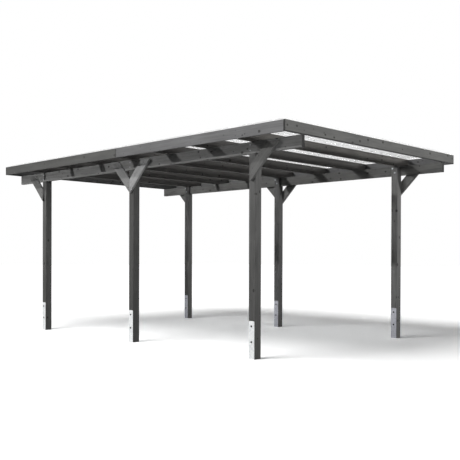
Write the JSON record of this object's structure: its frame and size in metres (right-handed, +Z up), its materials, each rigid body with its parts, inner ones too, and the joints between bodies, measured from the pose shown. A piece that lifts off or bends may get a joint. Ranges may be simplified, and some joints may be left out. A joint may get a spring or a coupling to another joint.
{
  "type": "timber carport",
  "caption": "Flat-roofed open timber carport: square posts in two rows, long beams with braces, rafters, roof edge boards and ribbed clear sheets, on galvanised post anchors.",
  "frame": {"origin": "on the ground under the middle of the roof", "axes": "+Z up, +Y from the entry to the rear, along the beams, and +X to the right seen from the entry"},
  "size_m": [3.374, 5.434, 2.414],
  "materials": {
    "timber": "dark grey wood stain on planed spruce",
    "anchor_zinc": "hot-dip galvanised steel",
    "roof_sheet": "clear ribbed plastic"
  },
  "bodies": {
    "root": {"post_front_left": "timber", "post_middle_left": "timber", "post_rear_left": "timber", "post_front_right": "timber", "post_middle_right": "timber", "post_rear_right": "timber", "beam_left": "timber", "beam_right": "timber", "brace_front_left": "timber", "brace_middle_front_left": "timber", "brace_middle_rear_left": "timber", "brace_rear_left": "timber", "brace_front_right": "timber", "brace_middle_front_right": "timber", "brace_middle_rear_right": "timber", "brace_rear_right": "timber", "rafter_1": "timber", "rafter_2": "timber", "rafter_3": "timber", "rafter_4": "timber", "rafter_5": "timber", "rafter_6": "timber", "rafter_7": "timber", "rafter_joint": "timber", "fascia_front": "timber", "fascia_rear": "timber", "fascia_left_front": "timber", "fascia_left_rear": "timber", "fascia_right_front": "timber", "fascia_right_rear": "timber", "anchor_front_left": "anchor_zinc", "anchor_middle_left": "anchor_zinc", "anchor_rear_left": "anchor_zinc", "anchor_front_right": "anchor_zinc", "anchor_middle_right": "anchor_zinc", "anchor_rear_right": "anchor_zinc", "roof_sheet_left": "roof_sheet", "roof_sheet_middle": "roof_sheet", "roof_sheet_right": "roof_sheet"}
  },
  "joints": []
}
